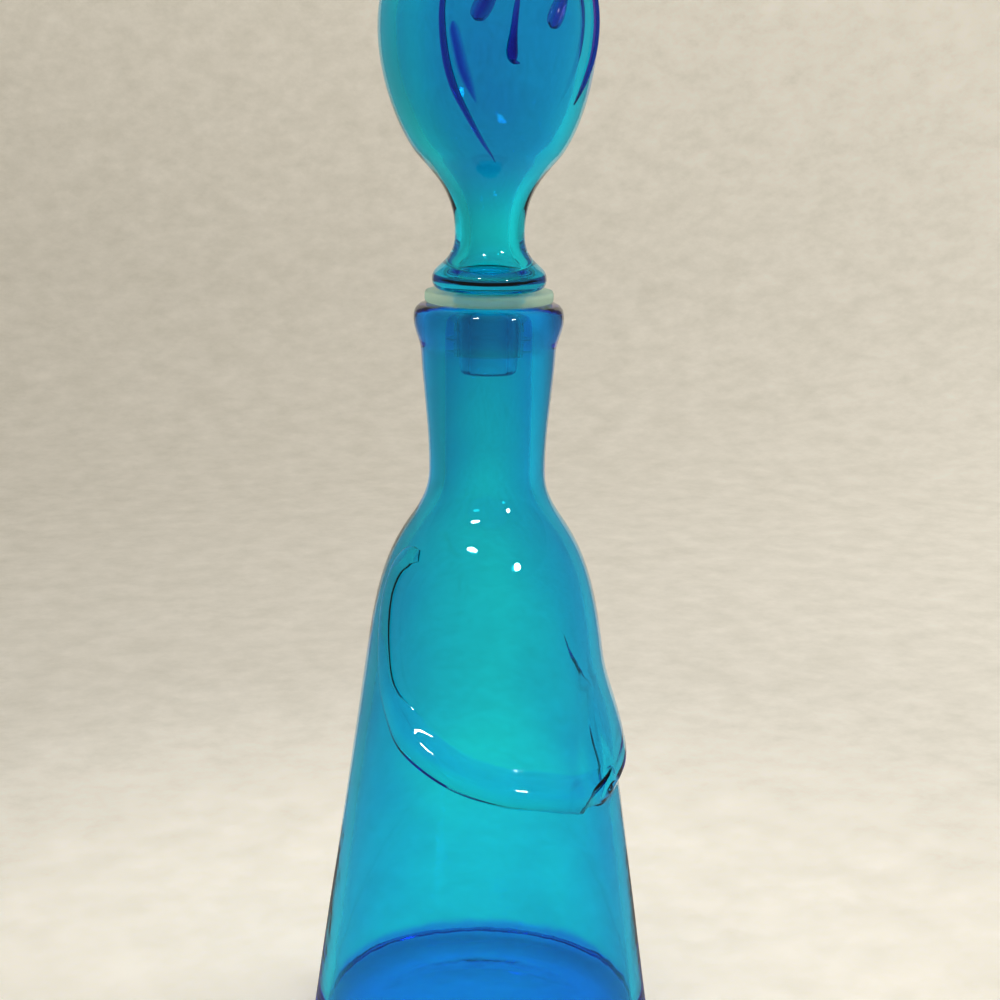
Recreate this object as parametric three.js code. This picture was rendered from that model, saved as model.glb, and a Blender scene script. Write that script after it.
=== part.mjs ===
// Face decanter: a blown glass bottle with two glass arms, closed by a hollow glass head on a plastic seal.
// Millimetres, +Z up. The origin is the centre of the foot. The face and the hands look towards -Y.
// A turn is in degrees round the upright axis: 0 at the front (-Y), growing towards +X.

import * as THREE from 'three';

// Sizes of the bottle, from the foot up
const FOOT_R = 51.6; // outside radius just above the heel
const HEEL_R = 4.0; // rounding between the foot and the wall
const PUNT_R = 33.0; // hollow under the foot
const PUNT_DEPTH = 1.5;
const FLOOR_THICK = 12.0; // glass under the inner floor
const FLOOR_CORNER = 4.0; // rounding between the inner floor and the wall
const WALL = 3.2;
const CONE_H = 124.0; // from the table to the start of the shoulder
const SHOULDER_R = 34.7;
const SHOULDER_H = 36.5; // from the cone to the bend, where the shoulder turns from bulging to hollow
const BEND_R = 22.8;
const BEND_LEAN = 35; // degrees from upright
const THROAT_H = 15.0; // from the bend to the throat, the narrowest place of the neck
const THROAT_R = 16.9;
const NECK_H = 36.2;
const NECK_TOP_R = 19.4;
const NECK_LEAN = 2; // degrees from upright, under the lip
const LIP_H = 12.5;
const LIP_R = 21.6;
const LIP_ROUND = 3.8;
const LIP_LEAN = 17; // degrees from upright, at the foot of the lip
const MOUTH_ROUND = 1.6;

// Sizes of the seal
const FLANGE_R = 18.4;
const FLANGE_H = 3.2;
const FLANGE_ROUND = 0.8;
const SKIRT_WALL = 1.1;
const SKIRT_END = 1.6; // skirt under the last fin
const FIN_COUNT = 3;
const FIN_REACH = 1.7; // how far a fin stands out of the skirt
const FIN_H = 1.2;
const FIN_SLOPE = 0.3; // how much thinner a fin is at its tip, on each side
const FIN_PITCH = 4.0;
const FIN_DROP = 3.4; // from the flange down to the first fin

// Sizes of the head, its collar and its peg
const PEG_TOP_R = 9.0;
const PEG_TAPER = 0.8; // how much smaller the radius is at the end
const PEG_OUT = 5.8; // how far the peg stands out of the seal
const PEG_ROUND = 1.6;
const PEG_WALL = 2.8;
const COLLAR_FOOT_R = 13.6;
const COLLAR_FOOT_H = 3.2; // from the foot of the collar to its widest place
const COLLAR_R = 16.5;
const COLLAR_TOP_H = 5.2; // from there to the place where it turns into the stem
const COLLAR_TOP_R = 12.5;
const COLLAR_LEAN = 42; // degrees from upright, at that place
const STEM_H = 7.1; // from there to the narrowest place under the head
const STEM_R = 9.9;
const JAW_H = 21.0; // from there to the place where the stem turns into the round of the head
const JAW_R = 19.3;
const JAW_LEAN = 43; // degrees from upright, at that place
const CHEEK_H = 36.5; // from there to the widest place of the head
const HEAD_R = 30.8;
const CROWN_H = 38.0; // from the widest place to the top
const HEAD_WALL = 4.5;

// Sizes of the laid-on glass: its width along the surface, and how far it stands up from it
const ARM_TOP = 30.0; // from the start of the shoulder up to the top of the arms
const HANDS_Z = 88.0;
const ARM_W = 6.4;
const ARM_THICK = 2.4;
const HAND_W = 12.4;
const HAND_THICK = 3.8;
const HAND_CREST = 0.35; // how far the crest of a hand lies to its lower edge, as a share of half the width
const SEAM_TURN = 32; // where the hands meet
const SEAM_LEAN = 55; // degrees that the seam leans to the right
const SEAM_GAP = 0.5;
const EYE_W = 5.4;
const EYE_L = 12.5;
const EYE_THICK = 1.7;
const EYE_TURN = 19; // each eye's distance from the front
const EYE_LEAN = 21; // degrees that the top of an eye leans to the right
const EYE_LIFT = 8.0; // middle of the eyes above the widest place of the head
const NOSE_W = 3.4;
const NOSE_L = 28.0;
const NOSE_THICK = 3.2;
const NOSE_DROP = 9.0; // tip of the nose under the widest place of the head
const HAIR_W = 2.6;
const HAIR_THICK = 1.7;
const PRESSED = 0.35; // how flat a laid-on bead is pressed, as a share of its half thickness

// Clearances
const SEAT_GAP = 0.3; // between faces that rest on each other
const SLIDE_GAP = 0.3; // between pieces that slide or turn in each other

// How finely the round shapes are cut
const BOTTLE_SIDES = 44;
const HEAD_SIDES = 32;
const SEAL_SIDES = 32;
const BEAD_SIDES = 10;
const BEND_STEPS = 5;
const DOME_STEPS = 7;
const CORNER_STEPS = 3;
const ARM_STEPS = 34;
const HAIR_STEPS = 18;
const NOSE_STEPS = 14;
const EYE_STEPS = 10;

// Levels worked out from the sizes
const BEND_Z = CONE_H + SHOULDER_H;
const THROAT_Z = BEND_Z + THROAT_H;
const LIP_FOOT_Z = THROAT_Z + NECK_H;
const MOUTH_Z = LIP_FOOT_Z + LIP_H;
const FLANGE_FOOT_Z = MOUTH_Z + SEAT_GAP;
const FLANGE_TOP_Z = FLANGE_FOOT_Z + FLANGE_H;
const COLLAR_Z = FLANGE_TOP_Z + SEAT_GAP;
const STEM_Z = COLLAR_Z + COLLAR_FOOT_H + COLLAR_TOP_H + STEM_H;
const JAW_Z = STEM_Z + JAW_H;
const HEAD_Z = JAW_Z + CHEEK_H;
const SKIRT_END_Z = FLANGE_FOOT_Z - FIN_DROP - (FIN_COUNT - 1) * FIN_PITCH - FIN_H - SKIRT_END;
const PEG_END_Z = SKIRT_END_Z - PEG_OUT;
const ARM_TOP_Z = CONE_H + ARM_TOP;

// Radii worked out from the peg, outwards through the seal to the bore of the neck
const PEG_END_R = PEG_TOP_R - PEG_TAPER;
const PEG_HOLE_R = PEG_END_R - PEG_WALL;
const FIN_R = PEG_TOP_R + SLIDE_GAP + SKIRT_WALL + FIN_REACH;
const BORE_R = FIN_R + SLIDE_GAP;

// How far a bend keeps the lean it leaves with and the lean it arrives with, over its length
const SHOULDER_REACH = [0.42, 0.31];
const STEM_REACH = [0.45, 0.35];
const CHEEK_REACH = [0.24, 0.37];

const DEG = Math.PI / 180;
const CONE_LEAN = Math.atan2(SHOULDER_R - FOOT_R, CONE_H - HEEL_R) / DEG;
const QUARTER_REACH = 0.5523; // handles of the cubic curve that draws a quarter circle, over its radius

function leanVector(degrees) {
  return new THREE.Vector2(Math.sin(degrees * DEG), Math.cos(degrees * DEG));
}

// An outline in distance from the axis (x) and height (y), drawn stretch by stretch
class Outline {
  constructor(r, z) {
    this.points = [new THREE.Vector2(r, z)];
  }

  get end() {
    return this.points[this.points.length - 1];
  }

  line(r, z) {
    this.points.push(new THREE.Vector2(r, z));
    return this;
  }

  curve(curve, steps) {
    this.points.push(...curve.getPoints(steps).slice(1));
    return this;
  }

  // A rounded corner whose sharp point would be at (sharpR, sharpZ)
  corner(sharpR, sharpZ, r, z) {
    const sharp = new THREE.Vector2(sharpR, sharpZ);
    const to = new THREE.Vector2(r, z);
    return this.curve(new THREE.QuadraticBezierCurve(this.end, sharp, to), CORNER_STEPS);
  }

  // A bend that leaves and arrives at the given leans, in degrees from upright
  bend(r, z, leanOut, leanIn, reachOut = 0.38, reachIn = 0.38) {
    const from = this.end;
    const to = new THREE.Vector2(r, z);
    const span = from.distanceTo(to);
    const out = from.clone().addScaledVector(leanVector(leanOut), span * reachOut);
    const back = to.clone().addScaledVector(leanVector(leanIn), -span * reachIn);
    return this.curve(new THREE.CubicBezierCurve(from, out, back, to), BEND_STEPS);
  }

  // A quarter of an ellipse that closes on the axis
  dome(z) {
    const from = this.end;
    const side = new THREE.Vector2(from.x, THREE.MathUtils.lerp(from.y, z, QUARTER_REACH));
    const top = new THREE.Vector2(from.x * QUARTER_REACH, z);
    return this.curve(new THREE.CubicBezierCurve(from, side, top, new THREE.Vector2(0, z)), DOME_STEPS);
  }

  join(outline) {
    this.points.push(...outline.points);
    return this;
  }

  reversed() {
    this.points.reverse();
    return this;
  }
}

function turned(outline, sides) {
  return new THREE.LatheGeometry(outline.points, sides).rotateX(Math.PI / 2);
}

// Outside of the bottle, from the foot up to the top of the lip
function bottleOutside() {
  return new Outline(FOOT_R - HEEL_R, 0)
    .corner(FOOT_R, 0, FOOT_R, HEEL_R)
    .line(SHOULDER_R, CONE_H)
    .bend(BEND_R, BEND_Z, CONE_LEAN, -BEND_LEAN, ...SHOULDER_REACH)
    .bend(THROAT_R, THROAT_Z, -BEND_LEAN, 0)
    .bend(NECK_TOP_R, LIP_FOOT_Z, 0, NECK_LEAN)
    .bend(LIP_R, MOUTH_Z - LIP_ROUND, LIP_LEAN, 0)
    .corner(LIP_R, MOUTH_Z, LIP_R - LIP_ROUND, MOUTH_Z);
}

// Inside of the bottle, from the middle of the floor up to the mouth
function bottleInside() {
  const inward = leanVector(90 - BEND_LEAN).multiplyScalar(-WALL);
  const coneInside = (z) => SHOULDER_R - WALL - Math.tan(CONE_LEAN * DEG) * (CONE_H - z);
  const cornerZ = FLOOR_THICK + FLOOR_CORNER;
  return new Outline(0, FLOOR_THICK)
    .line(coneInside(FLOOR_THICK) - FLOOR_CORNER, FLOOR_THICK)
    .corner(coneInside(FLOOR_THICK), FLOOR_THICK, coneInside(cornerZ), cornerZ)
    .line(coneInside(CONE_H), CONE_H)
    .bend(BEND_R + inward.x, BEND_Z + inward.y, CONE_LEAN, -BEND_LEAN, ...SHOULDER_REACH)
    .bend(BORE_R, THROAT_Z, -BEND_LEAN, 0)
    .line(BORE_R, MOUTH_Z - MOUTH_ROUND)
    .corner(BORE_R, MOUTH_Z, BORE_R + MOUTH_ROUND, MOUTH_Z);
}

function bottleBody() {
  const outline = new Outline(0, PUNT_DEPTH)
    .corner(PUNT_R / 2, PUNT_DEPTH, PUNT_R, 0)
    .join(bottleOutside())
    .join(bottleInside().reversed());
  return turned(outline, BOTTLE_SIDES);
}

// Outside of the peg at a height; the bore of the seal follows it
function pegRadius(z) {
  return THREE.MathUtils.mapLinear(z, PEG_END_Z, COLLAR_Z, PEG_END_R, PEG_TOP_R);
}

// A plastic sleeve with a flange that lies on the lip and fins that reach the bore
function sealSleeve() {
  const bore = (z) => pegRadius(z) + SLIDE_GAP;
  const skirt = (z) => bore(z) + SKIRT_WALL;
  const outline = new Outline(bore(FLANGE_TOP_Z), FLANGE_TOP_Z)
    .line(bore(SKIRT_END_Z), SKIRT_END_Z)
    .line(skirt(SKIRT_END_Z), SKIRT_END_Z);
  for (let i = FIN_COUNT - 1; i >= 0; i -= 1) {
    const top = FLANGE_FOOT_Z - FIN_DROP - i * FIN_PITCH;
    outline
      .line(skirt(top - FIN_H), top - FIN_H)
      .line(FIN_R, top - FIN_H + FIN_SLOPE)
      .line(FIN_R, top - FIN_SLOPE)
      .line(skirt(top), top);
  }
  outline
    .line(skirt(FLANGE_FOOT_Z), FLANGE_FOOT_Z)
    .line(FLANGE_R - FLANGE_ROUND, FLANGE_FOOT_Z)
    .corner(FLANGE_R, FLANGE_FOOT_Z, FLANGE_R, FLANGE_FOOT_Z + FLANGE_ROUND)
    .line(FLANGE_R, FLANGE_TOP_Z - FLANGE_ROUND)
    .corner(FLANGE_R, FLANGE_TOP_Z, FLANGE_R - FLANGE_ROUND, FLANGE_TOP_Z)
    .line(bore(FLANGE_TOP_Z), FLANGE_TOP_Z);
  return turned(outline, SEAL_SIDES);
}

// Outside of the head, from the foot of the collar up to the crown
function headOutside() {
  return new Outline(COLLAR_FOOT_R, COLLAR_Z)
    .corner(COLLAR_R, COLLAR_Z, COLLAR_R, COLLAR_Z + COLLAR_FOOT_H)
    .bend(COLLAR_TOP_R, STEM_Z - STEM_H, 0, -COLLAR_LEAN)
    .bend(STEM_R, STEM_Z, -COLLAR_LEAN, 0)
    .bend(JAW_R, JAW_Z, 0, JAW_LEAN, ...STEM_REACH)
    .bend(HEAD_R, HEAD_Z, JAW_LEAN, 0, ...CHEEK_REACH)
    .dome(HEAD_Z + CROWN_H);
}

// Inside of the head, from the open end of the peg up to the crown
function headInside() {
  const inward = leanVector(90 + JAW_LEAN).multiplyScalar(-HEAD_WALL);
  return new Outline(PEG_HOLE_R, PEG_END_Z)
    .line(PEG_HOLE_R, STEM_Z)
    .bend(JAW_R + inward.x, JAW_Z + inward.y, 0, JAW_LEAN, ...STEM_REACH)
    .bend(HEAD_R - HEAD_WALL, HEAD_Z, JAW_LEAN, 0, ...CHEEK_REACH)
    .dome(HEAD_Z + CROWN_H - HEAD_WALL);
}

function stopperHead() {
  const roundZ = PEG_END_Z + PEG_ROUND;
  const outline = headInside().reversed()
    .line(PEG_END_R - PEG_ROUND, PEG_END_Z)
    .corner(PEG_END_R, PEG_END_Z, pegRadius(roundZ), roundZ)
    .line(PEG_TOP_R, COLLAR_Z)
    .join(headOutside());
  return turned(outline, HEAD_SIDES);
}

// Which stretch of a rising list of marks holds a value, named by the mark at its far end
function stretchWith(marks, value) {
  const next = marks.findIndex((mark) => mark > value);
  return next < 0 ? marks.length - 1 : Math.max(next, 1);
}

// The surface that an outline makes when it is turned, measured by turn and by the run along the outline
class TurnedSurface {
  constructor(points) {
    this.points = points;
    this.heights = points.map((point) => point.y);
    this.runs = [0];
    for (let i = 1; i < points.length; i += 1) {
      this.runs.push(this.runs[i - 1] + points[i].distanceTo(points[i - 1]));
    }
    this.facing = points.map((point, i) => {
      const before = points[Math.max(i - 1, 0)];
      const after = points[Math.min(i + 1, points.length - 1)];
      return new THREE.Vector2(after.y - before.y, before.x - after.x).normalize();
    });
  }

  runAtHeight(z) {
    const i = stretchWith(this.heights, z);
    return this.runs[i - 1] + (z - this.heights[i - 1]) * this.runPerHeight(z);
  }

  // How much longer the run along the outline is than the rise in height, at a height
  runPerHeight(z) {
    const i = stretchWith(this.heights, z);
    return (this.runs[i] - this.runs[i - 1]) / (this.heights[i] - this.heights[i - 1]);
  }

  // Place on the outline at a run, lifted off it by the given distance
  outlineAt(run, lift) {
    const i = stretchWith(this.runs, run);
    const share = (run - this.runs[i - 1]) / (this.runs[i] - this.runs[i - 1]);
    const place = this.points[i - 1].clone().lerp(this.points[i], share);
    const facing = this.facing[i - 1].clone().lerp(this.facing[i], share).normalize();
    return place.addScaledVector(facing, lift);
  }

  point(turn, run, lift) {
    const place = this.outlineAt(run, lift);
    return new THREE.Vector3(place.x * Math.sin(turn * DEG), -place.x * Math.cos(turn * DEG), place.y);
  }
}

// A bead of glass laid along a route on a turned surface and pressed flat on it. Each stop of the route has
// its turn, height, width, thickness and, where they aren't 0, the lean of its section and how far its
// crest lies to the right of the route. The curves are uniform, so that turns in degrees and heights in
// millimetres don't weigh on each other.
function beadGeometry(surface, stops, steps) {
  const places = stops.map((stop) => new THREE.Vector3(stop.turn, stop.z, stop.crest ?? 0));
  const spans = stops.map((stop) => new THREE.Vector3(stop.width, stop.thick, stop.lean ?? 0));
  const route = new THREE.CatmullRomCurve3(places, false, 'catmullrom');
  const sizes = new THREE.CatmullRomCurve3(spans, false, 'catmullrom');
  const points = [];
  for (let i = 0; i <= steps; i += 1) {
    points.push(...beadSection(surface, route, sizes, i / steps));
  }
  return ringedBody(points, BEAD_SIDES);
}

function beadSection(surface, route, sizes, share) {
  const here = route.getPoint(share);
  const along = route.getTangent(share);
  const size = sizes.getPoint(share);
  const run = surface.runAtHeight(here.y);
  const radius = surface.outlineAt(run, 0).x;
  const climb = along.y * surface.runPerHeight(here.y);
  const forward = new THREE.Vector2(along.x * DEG * radius, climb).normalize();
  const lean = size.z * DEG;
  const across = new THREE.Vector2(-forward.y, forward.x).rotateAround(new THREE.Vector2(), -lean);
  const reach = size.x / 2 / Math.cos(lean);
  const section = [];
  for (let j = 0; j < BEAD_SIDES; j += 1) {
    const angle = (2 * Math.PI * (j + 0.5)) / BEAD_SIDES;
    const rise = Math.sin(angle);
    const aside = reach * (Math.cos(angle) - here.z * Math.max(0, rise) ** 2);
    const lift = size.y * Math.max(0, (rise + PRESSED) / (1 + PRESSED));
    const turn = here.x + (across.x * aside) / radius / DEG;
    section.push(surface.point(turn, run + across.y * aside, SEAT_GAP + lift));
  }
  return section;
}

// A closed body through rings of points, each ring with the same number of points
function ringedBody(points, sides) {
  const index = [];
  const rings = points.length / sides;
  for (let i = 0; i < rings - 1; i += 1) {
    for (let j = 0; j < sides; j += 1) {
      const a = i * sides + j;
      const b = i * sides + ((j + 1) % sides);
      index.push(a, b, a + sides, b, b + sides, a + sides);
    }
  }
  for (let j = 1; j < sides - 1; j += 1) {
    const last = (rings - 1) * sides;
    index.push(0, j + 1, j, last, last + j, last + j + 1);
  }
  return new THREE.BufferGeometry().setFromPoints(points).setIndex(index);
}

// One stop of an arm. "up" goes from 0 at the hands to 1 at the shoulder, "hand" from 0 on the arm to 1 on
// the hand, and "full" is the share of the full width and thickness.
function armStop(turn, up, hand, full = 1, lean = 0) {
  return {
    turn,
    z: THREE.MathUtils.lerp(HANDS_Z, ARM_TOP_Z, up),
    width: full * THREE.MathUtils.lerp(ARM_W, HAND_W, hand),
    thick: full * THREE.MathUtils.lerp(ARM_THICK, HAND_THICK, hand),
    lean,
    crest: hand * HAND_CREST,
  };
}

// Half of the gap between the hands, as a turn
function seamHalfTurn(surface) {
  const radius = surface.outlineAt(surface.runAtHeight(HANDS_Z), 0).x;
  return SEAM_GAP / 2 / Math.cos(SEAM_LEAN * DEG) / radius / DEG;
}

function armLeft(surface) {
  return beadGeometry(surface, [
    armStop(-66.5, 1.0, 0, 0.25),
    armStop(-75, 0.985, 0, 0.6),
    armStop(-82, 0.93, 0, 0.9),
    armStop(-84.5, 0.83, 0),
    armStop(-82.5, 0.71, 0),
    armStop(-78.5, 0.575, 0),
    armStop(-74, 0.46, 0.05),
    armStop(-68.5, 0.385, 0.2),
    armStop(-61, 0.32, 0.55),
    armStop(-53, 0.255, 0.85),
    armStop(-42, 0.195, 1),
    armStop(-28, 0.125, 1),
    armStop(-10.5, 0.07, 1),
    armStop(3, 0.045, 1),
    armStop(20, 0, 1, 1, SEAM_LEAN / 3),
    armStop(SEAM_TURN - seamHalfTurn(surface), 0, 1, 1, SEAM_LEAN),
  ], ARM_STEPS);
}

function armRight(surface) {
  return beadGeometry(surface, [
    armStop(SEAM_TURN + seamHalfTurn(surface), 0, 1, 1, SEAM_LEAN),
    armStop(44, 0, 0.9, 1, SEAM_LEAN / 3),
    armStop(57, 0.045, 0.8),
    armStop(70, 0.095, 0.65),
    armStop(82, 0.15, 0.45),
    armStop(92, 0.22, 0.2),
    armStop(101, 0.315, 0.05),
    armStop(108, 0.43, 0),
    armStop(113, 0.6, 0),
    armStop(114, 0.78, 0),
    armStop(111, 0.925, 0, 0.9),
    armStop(104.5, 0.985, 0, 0.6),
    armStop(98, 1.0, 0, 0.25),
  ], ARM_STEPS);
}

// An eye: a drop of dark glass, round below and pointed above. Both eyes lean the same way. Side is -1 for
// the left and 1 for the right.
function eye(surface, side) {
  const middle = HEAD_Z + EYE_LIFT;
  const drop = [[-0.5, 0.25], [-0.42, 0.8], [-0.2, 1], [0.1, 0.8], [0.35, 0.45], [0.5, 0.2]];
  return beadGeometry(surface, drop.map(([rise, full]) => ({
    turn: side * EYE_TURN + (Math.tan(EYE_LEAN * DEG) * rise * EYE_L) / HEAD_R / DEG,
    z: middle + rise * EYE_L,
    width: full * EYE_W,
    thick: full * EYE_THICK,
  })), EYE_STEPS);
}

// The nose: a thread from the brow that swells to a round tip and leans a little to the left
function nose(surface) {
  const tip = HEAD_Z - NOSE_DROP;
  const stops = [
    [-1, 1, 0.3], [-3.5, 0.8, 0.4], [-6.3, 0.55, 0.55], [-8, 0.35, 0.75],
    [-9, 0.15, 1], [-9, 0.05, 0.8], [-8, 0, 0.4],
  ];
  return beadGeometry(surface, stops.map(([turn, up, full]) => ({
    turn,
    z: tip + up * NOSE_L,
    width: full * NOSE_W,
    thick: full * NOSE_THICK,
  })), NOSE_STEPS);
}

// A strand of hair. Each stop has its turn, its level, from 1 at the crown over 0 at the widest place of
// the head to -1 at the jaw, and its share of the full width and thickness.
function strand(surface, stops) {
  return beadGeometry(surface, stops.map(([turn, level, full]) => ({
    turn,
    z: HEAD_Z + level * (level > 0 ? CROWN_H : CHEEK_H),
    width: full * HAIR_W,
    thick: full * HAIR_THICK,
  })), HAIR_STEPS);
}

function hairLeft(surface) {
  return strand(surface, [
    [-14, 0.91, 0.35], [-27, 0.79, 0.7], [-39, 0.53, 0.8], [-44, 0.21, 0.8], [-43, -0.14, 0.95],
    [-39.5, -0.41, 1.1], [-33, -0.63, 0.95], [-25.5, -0.82, 0.7], [-16.5, -0.98, 0.3],
  ]);
}

function hairRight(surface) {
  return strand(surface, [
    [20, 0.91, 0.35], [36, 0.79, 0.7], [48, 0.53, 0.9], [51.5, 0.21, 1], [49.5, -0.14, 1],
    [43, -0.39, 0.8], [37.5, -0.56, 0.3],
  ]);
}

function glass(color) {
  return new THREE.MeshStandardMaterial({
    color,
    roughness: 0.05,
    metalness: 0,
    transparent: true,
    opacity: 0.7,
  });
}

function plastic(color) {
  return new THREE.MeshStandardMaterial({ color, roughness: 0.5, metalness: 0 });
}

const TURQUOISE = 0x1eb4be;
const AZURE = 0x1f82b8;
const COBALT = 0x1f2a80;
const MILKY = 0xb9d2c4;

function add(group, name, geometry, material) {
  const mesh = new THREE.Mesh(geometry, material);
  mesh.name = name;
  group.add(mesh);
}

const decanter = new THREE.Group();
const bottleSurface = new TurnedSurface(bottleOutside().points);
const headSurface = new TurnedSurface(headOutside().points);

const bottle = new THREE.Group();
add(bottle, 'bottle_body', bottleBody(), glass(TURQUOISE));
add(bottle, 'arm_left', armLeft(bottleSurface), glass(TURQUOISE));
add(bottle, 'arm_right', armRight(bottleSurface), glass(TURQUOISE));

const stopper = new THREE.Group();
add(stopper, 'stopper_head', stopperHead(), glass(AZURE));
add(stopper, 'eye_left', eye(headSurface, -1), glass(COBALT));
add(stopper, 'eye_right', eye(headSurface, 1), glass(COBALT));
add(stopper, 'nose', nose(headSurface), glass(COBALT));
add(stopper, 'hair_left', hairLeft(headSurface), glass(COBALT));
add(stopper, 'hair_right', hairRight(headSurface), glass(COBALT));

add(decanter, 'seal_sleeve', sealSleeve(), plastic(MILKY));
decanter.add(bottle, stopper);

export default decanter;
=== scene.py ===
# Face decanter: the looks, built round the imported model. Metres, in the model's own frame.
# The face and the hands look towards -Y. A turn is in degrees round the upright axis: 0 at -Y, growing
# towards +X.
import math

import bmesh
import bpy
from mathutils import Matrix, Vector, noise


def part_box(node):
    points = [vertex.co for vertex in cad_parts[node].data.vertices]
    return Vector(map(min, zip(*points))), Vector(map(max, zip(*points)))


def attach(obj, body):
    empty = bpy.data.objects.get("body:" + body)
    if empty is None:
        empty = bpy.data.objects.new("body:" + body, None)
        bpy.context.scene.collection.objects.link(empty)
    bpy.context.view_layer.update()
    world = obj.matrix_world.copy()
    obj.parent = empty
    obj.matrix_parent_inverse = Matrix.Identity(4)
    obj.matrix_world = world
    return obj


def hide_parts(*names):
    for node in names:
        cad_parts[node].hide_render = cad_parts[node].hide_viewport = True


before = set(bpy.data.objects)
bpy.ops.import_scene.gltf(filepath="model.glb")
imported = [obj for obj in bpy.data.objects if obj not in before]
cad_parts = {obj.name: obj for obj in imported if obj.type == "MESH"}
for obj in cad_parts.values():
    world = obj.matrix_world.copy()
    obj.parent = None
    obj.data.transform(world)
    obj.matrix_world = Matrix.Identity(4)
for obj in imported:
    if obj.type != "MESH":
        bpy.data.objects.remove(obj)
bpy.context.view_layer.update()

MM = 0.001

# The camera, as fitted to the photograph
CAMERA_TURN = -21.0
CAMERA_AWAY = 600 * MM  # from the decanter's axis
CAMERA_HEIGHT = 301.6 * MM
CAMERA_PITCH = 12.7  # degrees down
CAMERA_ASIDE = 0.37  # degrees that it looks past the axis, to the right
CAMERA_ROLL = 0.76  # degrees that the decanter leans to the right in the picture
CAMERA_LENS = 75.9
CAMERA_SENSOR = 36.0

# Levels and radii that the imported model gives
bottle_low, bottle_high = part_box("bottle_body")
seal_low, seal_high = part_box("seal_sleeve")
head_low, head_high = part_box("stopper_head")
FOOT_R = bottle_high.x
MOUTH_Z = bottle_high.z
FLANGE_R = seal_high.x
FLANGE_TOP_Z = seal_high.z
SKIRT_END_Z = seal_low.z
HEAD_R = head_high.x
CROWN_Z = head_high.z
PEG_END_Z = head_low.z

# Sizes of the bottle
HEEL_R = 4.0 * MM
PUNT_R = 33.0 * MM
PUNT_DEPTH = 1.5 * MM
FLOOR_THICK = 12.0 * MM
FLOOR_CORNER = 1.2 * MM
WALL = 3.6 * MM
FLOOR_WALL = 3.8 * MM  # the wall thickens towards the floor
CONE_HANDLES = (0.45, 0.75)  # of the cone's height, for the curve of its inside
CONE_Z = 124.0 * MM
SHOULDER_R = 34.7 * MM
BEND_Z = 160.5 * MM
BEND_R = 22.8 * MM
BEND_LEAN = 35.0
THROAT_Z = 175.5 * MM
THROAT_R = 16.9 * MM
NECK_TOP_R = 19.4 * MM
NECK_LEAN = 2.0
LIP_H = 12.5 * MM
LIP_R = 21.6 * MM
LIP_ROUND = 3.8 * MM
LIP_LEAN = 17.0
MOUTH_ROUND = 1.6 * MM
BORE_R = 12.4 * MM

# Sizes of the seal
FLANGE_H = 3.2 * MM
FLANGE_ROUND = 0.8 * MM
SKIRT_WALL = 1.1 * MM
FIN_COUNT = 3
FIN_R = 12.1 * MM
FIN_H = 1.2 * MM
FIN_SLOPE = 0.3 * MM
FIN_PITCH = 4.0 * MM
FIN_DROP = 3.4 * MM

# Sizes of the stopper
SEAT_GAP = 0.3 * MM
SLIDE_GAP = 0.3 * MM
COLLAR_Z = FLANGE_TOP_Z + SEAT_GAP
PEG_TOP_R = 9.0 * MM
PEG_END_R = 8.2 * MM
PEG_ROUND = 1.6 * MM
PEG_HOLE_R = 5.4 * MM
COLLAR_FOOT_R = 13.6 * MM
COLLAR_FOOT_H = 3.2 * MM
COLLAR_R = 16.5 * MM
COLLAR_TOP_H = 5.2 * MM
COLLAR_TOP_R = 12.5 * MM
COLLAR_LEAN = 42.0
COLLAR_FLOOR = 2.4 * MM  # the floor of the hollow, above the collar's foot
COLLAR_ROUND = 2.0 * MM
STEM_R = 9.9 * MM
STEM_Z = COLLAR_Z + 15.5 * MM
JAW_R = 19.3 * MM
JAW_Z = STEM_Z + 21.0 * MM
JAW_LEAN = 43.0
HEAD_Z = JAW_Z + 36.5 * MM
HEAD_WALL = 4.5 * MM
FACE_TURN = 2.0  # the middle of the face, between the strands of hair
HEAD_ASIDE = 1.2 * MM  # the blown head sits a little off the axis, to the camera's left

# The laid-on glass
ARM_TOP_Z = 154.0 * MM
HANDS_Z = 88.0 * MM
ARM_W = 6.4 * MM
ARM_THICK = 0.7 * MM
HAND_W = 12.4 * MM
HAND_THICK = 3.8 * MM
HAND_CREST = 0.35  # how far the crest of a hand lies to its lower edge, as a share of half the width
SEAM_TURN = 32.0
SEAM_LEAN = 55.0
SEAM_GAP = 0.5 * MM
PALM_LIFT = 3.4 * MM  # the wall swells out under the right hand
PALM_TURN = 63.0
PALM_Z = 91.0 * MM
PALM_RISE = 0.15 * MM  # for each degree to the right
PALM_FLAT_TURN = 22.0
PALM_EDGE_TURN = 16.0
PALM_UP = 30.0 * MM
PALM_DOWN = 8.0 * MM
EDGE_THICK = 0.1 * MM  # the least height of a hand over the swelling
EYE_W = 5.4 * MM
EYE_L = 12.5 * MM
EYE_THICKS = (1.2 * MM, 0.8 * MM)
EYE_TURNS = (-21.0, 19.0)
EYE_LEAN = 29.0  # the top of an eye leans to the right
EYE_LIFTS = (8.0 * MM, 6.2 * MM)
NOSE_W = 3.4 * MM
NOSE_L = 28.0 * MM
NOSE_THICK = 3.2 * MM
NOSE_DROP = 9.0 * MM
HAIR_W = 2.6 * MM
HAIR_THICK = 1.7 * MM
SHADE_W = 3.8 * MM  # the dark band inside the glass, beside the left strand
SHADE_THICK = 2.0 * MM
SHADE_DEPTH = 3.2 * MM
PRESSED = 0.35
ARM_SQUARE = 0.5  # how square the section of an arm is, where 1 is round
UNDERCUT = 0.18  # how far a crisp side stands over its foot, as a share of half the width
CREASE = 32.0  # degrees, from where an edge is sharp
SUNK = 0.4 * MM  # how deep the laid-on glass is melted into what carries it

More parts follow.
